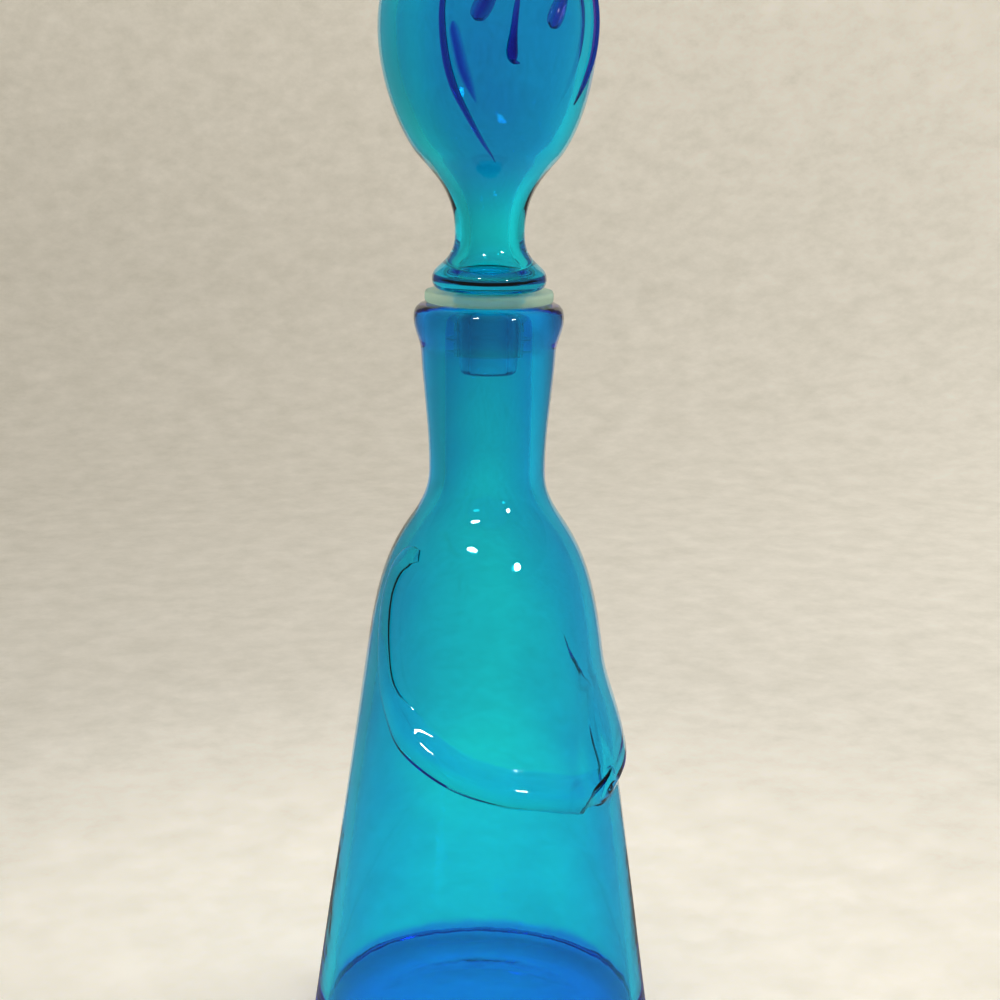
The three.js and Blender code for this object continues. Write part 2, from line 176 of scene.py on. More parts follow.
# How far a bend keeps the lean it leaves with and the lean it arrives with
SHOULDER_REACH = (0.42, 0.31)
STEM_REACH = (0.45, 0.35)
CHEEK_REACH = (0.24, 0.37)
CONE_LEAN = math.degrees(math.atan2(SHOULDER_R - FOOT_R, CONE_Z - HEEL_R))
QUARTER_REACH = 0.5523

# How finely the glass is made
SIDES = 144
BEAD_SIDES = 36
ARM_STEPS = 200
EYE_STEPS = 60
NOSE_STEPS = 150
HAIR_STEPS = 140
PAPER_SIDES = 96
PAPER_BEND_STEPS = 24
STEP = 0.9 * MM  # along an outline
ROUTE_STEP = 0.01  # of the way between two stops, over which a route's direction is taken
POLISH_PASSES = 3
ON_AXIS = 1e-7  # an outline that starts nearer than this to the axis meets it

# How uneven the blown glass is: how wide its waves are, how deep, and where their noise starts
BOTTLE_WAVES = (45 * MM, 0.3 * MM, 3.1)
BOTTLE_WAVES_INSIDE = (45 * MM, 0.35 * MM, 7.7)
HEAD_WAVES = (40 * MM, 0.3 * MM, 9.2)
HEAD_WAVES_INSIDE = (24 * MM, 0.7 * MM, 5.3)
WAVES_R = 35 * MM  # the radius on which the noise is taken
WAVES_FULL_R = 20 * MM  # from the axis to here the waves grow
LIP_FADE = (25 * MM, 15 * MM)  # the stretch below the mouth where the waves fade, so that the lip is true
BORE_FADE = (40 * MM, 25 * MM)  # and the stretch inside, so that the seal fits

# What the glass and the plastic are like
GLASS_IOR = 1.5
GLASS_DENSITY = 400.0
COBALT_DENSITY = 1400.0
SHADE_DENSITY = 1000.0
SKIN_SCALE = 90.0
SKIN_WAVE = 0.15
SKIN_DEPTH = 0.5 * MM
MOST_SMEARED = 0.03  # the roughness of the cloudiest places
SEAL_IOR = 1.03
# The seal's green is partly painted light, the blue-green light that reaches it through the glass round it,
# and partly the plastic's own milky colour
SEAL_COLOURS = ((0.66, 0.94, 0.80, 1), (0.74, 0.96, 0.84, 1))
SEAL_SCALE = 180.0
SKIRT_DULL = 0.06
SKIRT_CLEAR = 0.99
FLANGE_DULL = 0.3
FLANGE_CLEAR = 0.74

# How the colour of the glass wanders
CLOUD_SCALE = 35.0
LEVEL_WAVE = 8 * MM  # up and down, for the levels of the tints
DRIFT = (0.95, 0.88, 0.97, 1)  # the tint of the darker patches
DRIFT_SCALE = 16.0
FLANK_SHADE = (1.0, 0.74, 0.95, 1)  # painted shade: the darker, bluer tint of the bottle's flanks, the sides seen from the camera
FLANK_FULL_Z = 4 * FLOOR_THICK  # which fades from here down to the floor
UNSHADED_TURN = -28.0  # the middle of the bottle's front, which the painted flank shade leaves clear
STREAK = (0.23, 0.57, 0.95, 1)
STREAK_WAVE = 12 * MM
STREAK_IN = 9 * MM  # the deep streak of the head is full to here from its middle,
STREAK_OUT = 28 * MM  # and ends here
STREAK_RISE = 10 * MM  # it is full from here above the jaw

# The pale paper that it stands on, which curves up into a wall on every side
PAPER_DROP = 0.2 * MM
PAPER_FLAT_R = 0.75
PAPER_WALL_R = 1.55
PAPER_TOP_Z = 0.9
FRONT_HALF_TURN = 150.0  # of the sheet behind the camera
BRIGHT_SIDE_TURN = 70.0  # the wall's painted glow is brighter on the side of the stronger light
NEAR_R = 0.08  # the floor's own painted glow is full from the foot to here,
FAR_R = 0.4  # and is the wall's from here
FLOOR_GLOW = 0.42
WALL_GLOW = (0.03, 0.20)  # painted glow: painted shade on the dark side, painted light on the bright side
WALL_GLOW_SPAN = 0.5  # how far to either side it grows
HIGH_GLOW = 0.16  # painted light that the wall gains with its height
HIGH_GLOW_Z = (0.1, 0.5)
PAINTED_FOOT_LIGHT = 0.55  # a painted pool of light under the foot, for the light that the glass gathers there
PAPER_DARK = (0.75, 0.71, 0.61, 1)
PAPER_PALE = (0.90, 0.85, 0.75, 1)
PAPER_GRAIN = 45.0

# The lamps: turn, elevation, distance, width, height and power. The soft ones come from above, stronger from
# the right, and the small ones only glint on the glass.
SOFT_LIGHTS = {
    "soft_right": (95, 48, 1.3, 0.9, 0.9, 5.5),
    "soft_left": (-60, 50, 1.4, 0.9, 0.9, 1.7),
    "soft_top": (0, 85, 1.4, 0.9, 0.9, 2.6),
}
GLINTS = {
    "glint_left": (-43, 51, 1.5, 0.26, 0.07, 5.0),
    "glint_right": (20, 38, 1.5, 0.17, 0.09, 8.0),
}
LAMP_AIM = (0, 0, 0.12)
ROOM_COLOUR = (1.0, 0.97, 0.92, 1)
ROOM_STRENGTH = 0.2


def lean_vector(degrees):
    return Vector((math.sin(math.radians(degrees)), math.cos(math.radians(degrees))))


class Outline:
    """An outline in distance from the axis (x) and height (y), drawn stretch by stretch."""

    def __init__(self, r, z):
        self.points = [Vector((r, z))]

    def line(self, r, z):
        return self.curve([self.points[-1], Vector((r, z))])

    def curve(self, handles):
        """A Bezier curve of any degree, cut into steps of an even size."""
        length = sum((b - a).length for a, b in zip(handles, handles[1:]))
        steps = max(2, round(length / STEP))
        for i in range(1, steps + 1):
            places = list(handles)
            while len(places) > 1:
                places = [a.lerp(b, i / steps) for a, b in zip(places, places[1:])]
            self.points.append(places[0])
        return self

    def corner(self, sharp_r, sharp_z, r, z):
        return self.curve([self.points[-1], Vector((sharp_r, sharp_z)), Vector((r, z))])

    def bend(self, r, z, lean_out, lean_in, reach_out=0.38, reach_in=0.38):
        start, end = self.points[-1], Vector((r, z))
        span = (end - start).length
        out = start + lean_vector(lean_out) * span * reach_out
        back = end - lean_vector(lean_in) * span * reach_in
        return self.curve([start, out, back, end])

    def dome(self, z):
        start = self.points[-1]
        side = Vector((start.x, start.y + (z - start.y) * QUARTER_REACH))
        top = Vector((start.x * QUARTER_REACH, z))
        return self.curve([start, side, top, Vector((0, z))])

    def join(self, other):
        self.points += other.points
        return self

    def reversed(self):
        self.points.reverse()
        return self

    def polished(self):
        """Softens every crease a little, as the fire does, and keeps both ends."""
        for _ in range(POLISH_PASSES):
            inner = [
                (before + here * 2 + after) / 4
                for before, here, after in zip(self.points, self.points[1:], self.points[2:])
            ]
            self.points = [self.points[0], *inner, self.points[-1]]
        return self


def bottle_outside():
    return (
        Outline(FOOT_R - HEEL_R, 0)
        .corner(FOOT_R, 0, FOOT_R, HEEL_R)
        .line(SHOULDER_R, CONE_Z)
        .bend(BEND_R, BEND_Z, CONE_LEAN, -BEND_LEAN, *SHOULDER_REACH)
        .bend(THROAT_R, THROAT_Z, -BEND_LEAN, 0)
        .bend(NECK_TOP_R, MOUTH_Z - LIP_H, 0, NECK_LEAN)
        .bend(LIP_R, MOUTH_Z - LIP_ROUND, LIP_LEAN, 0)
        .corner(LIP_R, MOUTH_Z, LIP_R - LIP_ROUND, MOUTH_Z)
    )


def bottle_inside():
    inward = lean_vector(90 - BEND_LEAN) * -WALL
    slope = math.tan(math.radians(CONE_LEAN))

    def cone_inside(z):
        share = (CONE_Z - z) / CONE_Z
        return SHOULDER_R - slope * (CONE_Z - z) - WALL - (FLOOR_WALL - WALL) * share ** 2

    corner_z = FLOOR_THICK + FLOOR_CORNER
    return (
        Outline(0, FLOOR_THICK)
        .line(cone_inside(FLOOR_THICK) - FLOOR_CORNER, FLOOR_THICK)
        .corner(cone_inside(FLOOR_THICK), FLOOR_THICK, cone_inside(corner_z), corner_z)
        .curve([
            Vector((cone_inside(corner_z), corner_z)),
            *(Vector((cone_inside(CONE_Z * share), CONE_Z * share)) for share in CONE_HANDLES),
            Vector((cone_inside(CONE_Z), CONE_Z)),
        ])
        .bend(BEND_R + inward.x, BEND_Z + inward.y, CONE_LEAN, -BEND_LEAN, *SHOULDER_REACH)
        .bend(BORE_R, THROAT_Z, -BEND_LEAN, 0)
        .line(BORE_R, MOUTH_Z - MOUTH_ROUND)
        .corner(BORE_R, MOUTH_Z, BORE_R + MOUTH_ROUND, MOUTH_Z)
    )


def bottle_outline():
    return (
        Outline(0, PUNT_DEPTH)
        .corner(PUNT_R / 2, PUNT_DEPTH, PUNT_R, 0)
        .line(FOOT_R - HEEL_R - STEP, 0)
        .join(bottle_outside())
        .join(bottle_inside().reversed())
        .polished()
    )


def peg_radius(z):
    share = (z - PEG_END_Z) / (COLLAR_Z - PEG_END_Z)
    return PEG_END_R + (PEG_TOP_R - PEG_END_R) * share


def seal_outline():
    def bore(z):
        return peg_radius(z) + SLIDE_GAP

    def skirt(z):
        return bore(z) + SKIRT_WALL

    foot = FLANGE_TOP_Z - FLANGE_H
    outline = Outline(bore(FLANGE_TOP_Z), FLANGE_TOP_Z)
    outline.line(bore(SKIRT_END_Z), SKIRT_END_Z).line(skirt(SKIRT_END_Z), SKIRT_END_Z)
    for i in reversed(range(FIN_COUNT)):
        top = foot - FIN_DROP - i * FIN_PITCH
        outline.line(skirt(top - FIN_H), top - FIN_H).line(FIN_R, top - FIN_H + FIN_SLOPE)
        outline.line(FIN_R, top - FIN_SLOPE).line(skirt(top), top)
    return (
        outline.line(skirt(foot), foot)
        .line(FLANGE_R - FLANGE_ROUND, foot)
        .corner(FLANGE_R, foot, FLANGE_R, foot + FLANGE_ROUND)
        .line(FLANGE_R, FLANGE_TOP_Z - FLANGE_ROUND)
        .corner(FLANGE_R, FLANGE_TOP_Z, FLANGE_R - FLANGE_ROUND, FLANGE_TOP_Z)
        .line(bore(FLANGE_TOP_Z), FLANGE_TOP_Z)
    )


def head_outside():
    return (
        Outline(COLLAR_FOOT_R, COLLAR_Z)
        .corner(COLLAR_R, COLLAR_Z, COLLAR_R, COLLAR_Z + COLLAR_FOOT_H)
        .bend(COLLAR_TOP_R, COLLAR_Z + COLLAR_FOOT_H + COLLAR_TOP_H, 0, -COLLAR_LEAN)
        .bend(STEM_R, STEM_Z, -COLLAR_LEAN, 0)
        .bend(JAW_R, JAW_Z, 0, JAW_LEAN, *STEM_REACH)
        .bend(HEAD_R, HEAD_Z, JAW_LEAN, 0, *CHEEK_REACH)
        .dome(CROWN_Z)
    )


def head_hollow():
    """The hollow of the head, which runs down through the stem into the collar, from the crown down."""
    inward = lean_vector(90 + JAW_LEAN) * -HEAD_WALL
    collar_in = lean_vector(90 - COLLAR_LEAN) * -HEAD_WALL
    collar_top = Vector((COLLAR_TOP_R, COLLAR_Z + COLLAR_FOOT_H + COLLAR_TOP_H)) + collar_in
    return (
        Outline(0, COLLAR_Z + COLLAR_FLOOR)
        .curve([
            Vector((0, COLLAR_Z + COLLAR_FLOOR)),
            Vector((collar_top.x, COLLAR_Z + COLLAR_FLOOR)),
            collar_top - lean_vector(-COLLAR_LEAN) * COLLAR_ROUND,
            collar_top,
        ])
        .bend(STEM_R - HEAD_WALL, STEM_Z, -COLLAR_LEAN, 0)
        .bend(JAW_R + inward.x, JAW_Z + inward.y, 0, JAW_LEAN, *STEM_REACH)
        .bend(HEAD_R - HEAD_WALL, HEAD_Z, JAW_LEAN, 0, *CHEEK_REACH)
        .dome(CROWN_Z - HEAD_WALL)
        .polished()
        .reversed()
    )


def head_outline():
    """The outside of the head and of its peg, with the hole in the peg's end."""
    round_z = PEG_END_Z + PEG_ROUND
    return (
        Outline(0, COLLAR_Z - PEG_HOLE_R)
        .corner(PEG_HOLE_R, COLLAR_Z - PEG_HOLE_R, PEG_HOLE_R, COLLAR_Z - 2 * PEG_HOLE_R)
        .line(PEG_HOLE_R, PEG_END_Z)
        .line(PEG_END_R - PEG_ROUND, PEG_END_Z)
        .corner(PEG_END_R, PEG_END_Z, peg_radius(round_z), round_z)
        .line(PEG_TOP_R, COLLAR_Z)
        .line(COLLAR_FOOT_R - STEP, COLLAR_Z)
        .join(head_outside())
        .polished()
    )


def smooth_step(value, low, high):
    share = min(max((value - low) / (high - low), 0), 1)
    return share * share * (3 - 2 * share)


def unevenness(turn, z, size, depth, seed):
    """How far blown glass lies inside its outline: from 0 to depth, in soft waves about "size" across."""
    angle = math.radians(turn)
    spot = Vector((math.sin(angle) * WAVES_R, -math.cos(angle) * WAVES_R, z)) / size
    return depth * (0.5 + 0.5 * noise.noise(spot + Vector((seed, seed, seed))))


def place(turn, r, z):
    angle = math.radians(turn)
    return Vector((r * math.sin(angle), -r * math.cos(angle), z))


def palm(turn, z):
    """How far the wall swells out under the right hand."""
    aside = (turn - PALM_TURN + 180) % 360 - 180
    across = max(abs(aside) - PALM_FLAT_TURN, 0) / PALM_EDGE_TURN
    up = z - PALM_Z - aside * PALM_RISE
    up /= PALM_UP if up > 0 else PALM_DOWN
    return PALM_LIFT * (0.5 + 0.5 * math.cos(math.pi * min(math.hypot(across, up), 1)))


def bottle_point(turn, r, z, inside=False):
    r += palm(turn, z)
    fade, waves = (BORE_FADE, BOTTLE_WAVES_INSIDE) if inside else (LIP_FADE, BOTTLE_WAVES)
    free = 1 - smooth_step(z, MOUTH_Z - fade[0], MOUTH_Z - fade[1])
    if z < CONE_Z or not inside:
        free *= smooth_step(r, 0, WAVES_FULL_R)
    return place(turn, r - free * unevenness(turn, z, *waves), z)


camera_left = place(CAMERA_TURN - 90, 1, 0)


def head_point(turn, r, z, inside=False):
    sway = camera_left * HEAD_ASIDE * smooth_step(z, STEM_Z, HEAD_Z)
    free = smooth_step(z, STEM_Z, JAW_Z) * smooth_step(r, 0, WAVES_FULL_R)
    waves = HEAD_WAVES_INSIDE if inside else HEAD_WAVES
    return place(turn, r - free * unevenness(turn, z, *waves), z) + sway


def plain_point(turn, r, z, inside=False):
    return place(turn, r, z)


def new_mesh(name, points, faces, smooth=True):
    mesh = bpy.data.meshes.new(name)
    mesh.from_pydata([tuple(p) for p in points], [], faces)
    mesh.validate()
    mesh.update()
    mesh.polygons.foreach_set("use_smooth", [smooth] * len(mesh.polygons))
    obj = bpy.data.objects.new(name, mesh)
    bpy.context.scene.collection.objects.link(obj)
    return obj


def turned(name, outline, point, is_inside=lambda i: False):
    """Turns an outline into a closed body. Its ends meet the axis, or each other."""
    on_axis = abs(outline[0].x) < ON_AXIS
    ring_points = outline[1:-1] if on_axis else outline[:-1]
    offset = 1 if on_axis else 0
    points = []
    for i, p in enumerate(ring_points):
        inside = is_inside(i + offset)
        points += [point(360 * j / SIDES, p.x, p.y, inside) for j in range(SIDES)]
    faces = []
    rings = len(ring_points)
    spans = rings - 1 if on_axis else rings
    for i in range(spans):
        a, b = i * SIDES, (i + 1) % rings * SIDES
        for j in range(SIDES):
            k = (j + 1) % SIDES
            faces.append((a + j, a + k, b + k, b + j))
    if on_axis:
        first, last = len(points), len(points) + 1
        points += [Vector((0, 0, outline[0].y)), Vector((0, 0, outline[-1].y))]
        end = (rings - 1) * SIDES
        for j in range(SIDES):
            k = (j + 1) % SIDES
            faces.append((first, k, j))
            faces.append((last, end + j, end + k))
    return new_mesh(name, points, faces)


class Surface:
    """The surface that an outline makes when it is turned, measured by turn and by the run along the
    outline."""

    def __init__(self, outline, point):
        self.points, self.point_on = outline, point
        self.runs = [0.0]
        for a, b in zip(outline, outline[1:]):
            self.runs.append(self.runs[-1] + (b - a).length)
        self.facing = []
        for i in range(len(outline)):
            along = outline[min(i + 1, len(outline) - 1)] - outline[max(i - 1, 0)]
            self.facing.append(Vector((along.y, -along.x)).normalized())

    def stretch(self, marks, value):
        for i in range(1, len(marks)):
            if marks[i] > value:
                return i
        return len(marks) - 1

    def run_at_height(self, z):
        i = self.stretch([p.y for p in self.points], z)
        share = (z - self.points[i - 1].y) / (self.points[i].y - self.points[i - 1].y)
        return self.runs[i - 1] + share * (self.runs[i] - self.runs[i - 1])

    def outline_at(self, run, lift):
        i = self.stretch(self.runs, run)
        share = (run - self.runs[i - 1]) / (self.runs[i] - self.runs[i - 1])
        spot = self.points[i - 1].lerp(self.points[i], share)
        return spot + self.facing[i - 1].lerp(self.facing[i], share).normalized() * lift

    def point(self, turn, run, lift):
        spot = self.outline_at(run, lift)
        return self.point_on(turn, spot.x, spot.y)


def along_curve(stops, share):
    """A smooth curve through rows of numbers, and its direction, at a share of its stops."""
    spans = len(stops) - 1
    at = min(max(share, 0), 1) * spans
    i = min(int(at), spans - 1)
    t = at - i
    p1, p2 = stops[i], stops[i + 1]
    p0 = stops[i - 1] if i else [2 * a - b for a, b in zip(p1, p2)]
    p3 = stops[i + 2] if i + 2 <= spans else [2 * b - a for a, b in zip(p1, p2)]
    value, slope = [], []
    for a, b, c, d in zip(p0, p1, p2, p3):
        m1, m2 = (c - a) / 2, (d - b) / 2
        value.append(
            (2 * t**3 - 3 * t**2 + 1) * b + (t**3 - 2 * t**2 + t) * m1
            + (3 * t**2 - 2 * t**3) * c + (t**3 - t**2) * m2
        )
        slope.append(
            (6 * t**2 - 6 * t) * b + (3 * t**2 - 4 * t + 1) * m1
            + (6 * t - 6 * t**2) * c + (3 * t**2 - 2 * t) * m2
        )
    return value, slope


def bead_stop(turn, z, width, thick, lean=0, crest=0, soft_left=0, soft_right=0):
    """A stop on a bead's route: the lean of its section, how far its crest lies to the right of the route,
    and how softly each side of it, seen along the route, melts into the surface."""
    return turn, z, width, thick, lean, crest, soft_left, soft_right


def bead_point(angle, thick, crest, soft_left, soft_right, square):
    """A point of a bead's section: how far across it lies, from -1 at the right edge to 1, and how high."""
    across, rise = math.cos(angle), math.sin(angle)
    if rise < 0:
        soft = soft_left if across > 0 else soft_right
        under = min(-rise / PRESSED, 1)
        across *= 1 - UNDERCUT * (1 - soft) * under
        foot = thick * PRESSED / (1 + PRESSED) * (1 - under) - SUNK * under
        return across, foot + (-SUNK - foot) * soft
    across -= crest * rise ** 2
    soft = soft_left if across > -crest else soft_right
    crisp = thick * (rise ** square + PRESSED) / (1 + PRESSED)
    share = min(abs(across + crest) / (1 + math.copysign(crest, across + crest)), 1)
    melted = -SUNK + (thick + SUNK) * (0.5 + 0.5 * math.cos(math.pi * share))
    return across, crisp + (melted - crisp) * soft


def bead(name, surface, stops, steps, square=1, depth=0):
    """A bead of glass laid along a route, or sunk into the glass by a depth."""
    points = []
    for i in range(steps + 1):
        row, slope = along_curve(stops, i / steps)
        turn, z, width, thick, lean, crest, soft_left, soft_right = row
        run = surface.run_at_height(z)
        radius = surface.outline_at(run, 0).x
        rise = surface.run_at_height(z + slope[1] * ROUTE_STEP) - run
        forward = Vector((math.radians(slope[0]) * radius * ROUTE_STEP, rise)).normalized()
        lean = math.radians(lean)
        across = Matrix.Rotation(-lean, 2) @ Vector((-forward.y, forward.x))
        reach = width / 2 / math.cos(lean)
        for j in range(BEAD_SIDES):
            angle = 2 * math.pi * (j + 0.5) / BEAD_SIDES
            share, lift = bead_point(angle, thick, crest, soft_left, soft_right, square)
            at = turn + math.degrees(across.x * reach * share / radius)
            points.append(surface.point(at, run + across.y * reach * share, lift - depth))
    faces = []
    for i in range(steps):
        for j in range(BEAD_SIDES):
            k = (j + 1) % BEAD_SIDES
            a, b = i * BEAD_SIDES, (i + 1) * BEAD_SIDES
            faces.append((a + j, a + k, b + k, b + j))
    last = steps * BEAD_SIDES
    faces.append(tuple(reversed(range(BEAD_SIDES))))
    faces.append(tuple(last + j for j in range(BEAD_SIDES)))
    return new_mesh(name, points, faces)


def arm_stop(turn, up, hand, full=1, lean=0, outer=0, sunk=False):
    """A stop of an arm. Its inner edge melts into the bottle on the hand, and its outer edge as told. A stop
    that has sunk lies wholly in the wall."""
    z = HANDS_Z + (ARM_TOP_Z - HANDS_Z) * up
    width = full * (ARM_W + (HAND_W - ARM_W) * hand)
    thick = full * (ARM_THICK + (HAND_THICK - ARM_THICK) * hand)
    thick = -SUNK / 2 if sunk else max(thick - palm(turn, z), min(thick, EDGE_THICK))
    return bead_stop(turn, z, width, thick, lean, hand * HAND_CREST, max(hand, outer), outer)


def seam_half_turn(surface):
    radius = surface.outline_at(surface.run_at_height(HANDS_Z), 0).x
    return math.degrees(SEAM_GAP / 2 / math.cos(math.radians(SEAM_LEAN)) / radius)


def arm_left(surface):
    return bead("arm_left", surface, [
        arm_stop(-66.5, 1.0, 0.1, 0.5),
        arm_stop(-75, 0.985, 0.3, 0.75),
        arm_stop(-82, 0.93, 0.08, 0.95),
        arm_stop(-84.5, 0.83, 0),
        arm_stop(-82.5, 0.71, 0),
        arm_stop(-78.5, 0.575, 0),
        arm_stop(-74, 0.46, 0.05),
        arm_stop(-68.5, 0.385, 0.2),
        arm_stop(-61, 0.32, 0.55),
        arm_stop(-53, 0.255, 0.85),
        arm_stop(-42, 0.195, 1),
        arm_stop(-28, 0.125, 1),
        arm_stop(-10.5, 0.07, 1),
        arm_stop(3, 0.045, 1),
        arm_stop(20, 0, 1, 1, SEAM_LEAN / 3),
        arm_stop(SEAM_TURN - seam_half_turn(surface), 0, 1, 1, SEAM_LEAN),
    ], ARM_STEPS, ARM_SQUARE)


def arm_right(surface):
    return bead("arm_right", surface, [
        arm_stop(SEAM_TURN + seam_half_turn(surface), 0, 1, 1, SEAM_LEAN),
        arm_stop(44, 0, 0.9, 1, SEAM_LEAN / 3, 0.3),
        arm_stop(57, 0.045, 0.8, outer=1),
        arm_stop(70, 0.095, 0.65, outer=1),
        arm_stop(82, 0.15, 0.45, outer=1),
        arm_stop(92, 0.22, 0.25, outer=0.5),
        arm_stop(101, 0.315, 0.1),
        arm_stop(108, 0.43, 0, 0.7, outer=0.8),
        arm_stop(112, 0.53, 0, outer=1, sunk=True),
        arm_stop(114, 0.66, 0, outer=1, sunk=True),
        arm_stop(113.5, 0.8, 0, outer=1, sunk=True),
        arm_stop(110, 0.92, 0, outer=1, sunk=True),
        arm_stop(98, 1.0, 0, outer=1, sunk=True),
    ], ARM_STEPS, ARM_SQUARE)


def joined(base, *others):
    """The meshes of several objects, put together in the first one."""
    mesh = bmesh.new()
    for obj in (base, *others):
        mesh.from_mesh(obj.data)
    mesh.to_mesh(base.data)
    mesh.free()
    for obj in others:
        bpy.data.objects.remove(obj)
    return base


def fused(base, laid_on):
    """One body of glass, from a vessel and the beads that were melted on to it."""
    for bead_object in laid_on:
        join = base.modifiers.new(bead_object.name, "BOOLEAN")
        join.operation = "UNION"
        join.solver = "EXACT"
        join.object = bead_object
    bpy.context.view_layer.update()
    made = bpy.data.meshes.new_from_object(base.evaluated_get(bpy.context.evaluated_depsgraph_get()))
    base.modifiers.clear()
    base.data = made
    for bead_object in laid_on:
        bpy.data.objects.remove(bead_object)
    made.set_sharp_from_angle(angle=math.radians(CREASE))
    return base


def eye(name, surface, middle_turn, lift, most_thick):
    middle = HEAD_Z + lift
    drop = [(-0.5, 0.12), (-0.42, 0.8), (-0.2, 1), (0.1, 0.8), (0.35, 0.45), (0.5, 0.1)]
    stops = []
    for rise, full in drop:
        turn = middle_turn + math.degrees(math.tan(math.radians(EYE_LEAN)) * rise * EYE_L / HEAD_R)
        width, thick = full * EYE_W, full * most_thick
        stops.append(bead_stop(turn, middle + rise * EYE_L, width, thick, soft_left=1, soft_right=1))
    return bead(name, surface, stops, EYE_STEPS)


def nose(surface):
    tip = HEAD_Z - NOSE_DROP
    shape = [
        (-1, 1, 0.2, 0.1), (-2.4, 0.9, 0.36, 0.14), (-3.5, 0.8, 0.3, 0.12), (-4.7, 0.7, 0.42, 0.16),
        (-5.8, 0.6, 0.4, 0.17), (-7.1, 0.46, 0.5, 0.31), (-8.1, 0.32, 0.56, 0.56), (-8.9, 0.18, 0.78, 0.9),
        (-9.1, 0.11, 0.9, 1), (-8.7, 0.05, 0.8, 0.85), (-7.5, 0.01, 0.5, 0.5), (-4.5, -0.01, 0.1, 0.1),
    ]
    return bead("nose_glass", surface, [
        bead_stop(turn, tip + up * NOSE_L, wide * NOSE_W, thick * NOSE_THICK)
        for turn, up, wide, thick in shape
    ], NOSE_STEPS)


def strand(name, surface, shape, width=HAIR_W, thick=HAIR_THICK, soft=0, depth=0):
    """A strand of hair. A level is 1 at the crown, 0 at the widest place of the head and -1 at the jaw."""
    stops = []
    for turn, level, full in shape:
        reach = CROWN_Z - HEAD_Z if level > 0 else HEAD_Z - JAW_Z
        z = HEAD_Z + level * reach
        stops.append(bead_stop(turn, z, full * width, full * thick, soft_left=soft, soft_right=soft))
    return bead(name, surface, stops, HAIR_STEPS, depth=depth)


def node(tree, kind, inputs=(), **settings):
    """A new node. An input is a value, or the socket that feeds it."""
    made = tree.nodes.new(kind)
    for key, value in settings.items():
        setattr(made, key, value)
    for key, value in dict(inputs).items():
        if isinstance(value, bpy.types.NodeSocket):
            tree.links.new(value, made.inputs[key])
        else:
            made.inputs[key].default_value = value
    return made


def new_material(name):
    material = bpy.data.materials.new(name)
    material.use_nodes = True
    material.node_tree.nodes.clear()
    return material, material.node_tree


def mixed(tree, factor, one, other):
    """Two colours mixed by a factor. Inputs 6 and 7 of a colour Mix are its colours, and output 2 its
    result."""
    made = node(tree, "ShaderNodeMix", {0: factor, 6: one, 7: other}, data_type="RGBA")
    return made.outputs[2]


def multiplied(tree, factor, colour, tint):
    """A colour, darkened by a tint as far as the factor says."""
    made = node(tree, "ShaderNodeMix", {0: factor, 6: colour, 7: tint}, data_type="RGBA",
                blend_type="MULTIPLY")
    return made.outputs[2]


def worked_out(tree, operation, *values):
    """A value that is worked out from others, which are numbers or sockets."""
    return node(tree, "ShaderNodeMath", enumerate(values), operation=operation).outputs[0]


def ranged(tree, value, low, high, at_low=0.0, at_high=1.0, kind="LINEAR"):
    """A value that goes from at_low to at_high while another one goes from low to high."""
    made = node(tree, "ShaderNodeMapRange", {
        "Value": value, "From Min": low, "From Max": high, "To Min": at_low, "To Max": at_high,
    }, interpolation_type=kind)
    return made.outputs["Result"]


def tint_by_height(tree, where, cloud, tints):
    """The tint of each level, from rows of a height and a colour. The cloud lets the levels wander."""
    height = node(tree, "ShaderNodeSeparateXYZ", {0: where}).outputs["Z"]
    waved = worked_out(tree, "MULTIPLY_ADD", cloud, LEVEL_WAVE, height)
    share = ranged(tree, waved, LEVEL_WAVE / 2, CROWN_Z + LEVEL_WAVE / 2)
    ramp = node(tree, "ShaderNodeValToRGB", {"Fac": share})
    stops = ramp.color_ramp.elements
    while len(stops) < len(tints):
        stops.new(1.0)
    for stop, (z, colour) in zip(stops, tints):
        stop.position = z / CROWN_Z
        stop.color = colour
    return ramp.outputs["Color"]


def glass(name, tints, absorb, density=GLASS_DENSITY, ior=GLASS_IOR, streak=None, shaded_flanks=False):
    """Clear coloured glass: a tint for each level, a faintly wavy skin, and a depth that takes the colour."""
    material, tree = new_material(name)
    where = node(tree, "ShaderNodeTexCoord").outputs["Object"]
    cloud = node(tree, "ShaderNodeTexNoise", {
        "Vector": where, "Scale": CLOUD_SCALE, "Detail": 3.0, "Roughness": 0.55,
    })
    colour = tint_by_height(tree, where, cloud.outputs["Fac"], tints)
    if streak:
        colour = mixed(tree, streak_share(tree, where, cloud.outputs["Fac"]), colour, streak)
    # painted shade on the flanks of the bottle
    if shaded_flanks:
        colour = multiplied(tree, flank_shade_share(tree, where), colour, FLANK_SHADE)
    skin = node(tree, "ShaderNodeTexNoise", {
        "Vector": where, "Scale": SKIN_SCALE, "Detail": 2.0, "Roughness": 0.4,
    })
    bump = node(tree, "ShaderNodeBump", {
        "Height": skin.outputs["Fac"], "Strength": SKIN_WAVE, "Distance": SKIN_DEPTH,
    })
    smear = ranged(tree, cloud.outputs["Fac"], 0.0, 1.0, 0.0, MOST_SMEARED)
    drift = node(tree, "ShaderNodeTexNoise", {"Vector": where, "Scale": DRIFT_SCALE, "Detail": 2.0})
    share = ranged(tree, drift.outputs["Fac"], 0.4, 0.6, kind="SMOOTHSTEP")
    shader = node(tree, "ShaderNodeBsdfPrincipled", {
        "Base Color": multiplied(tree, share, colour, DRIFT),
        "Roughness": smear,
        "IOR": ior,
        "Transmission Weight": 1.0,
        "Normal": bump.outputs["Normal"],
    })
    depth = node(tree, "ShaderNodeVolumeAbsorption", {"Color": absorb, "Density": density})
    node(tree, "ShaderNodeOutputMaterial", {
        "Surface": shader.outputs["BSDF"],
        "Volume": depth.outputs["Volume"],
    })
    return material


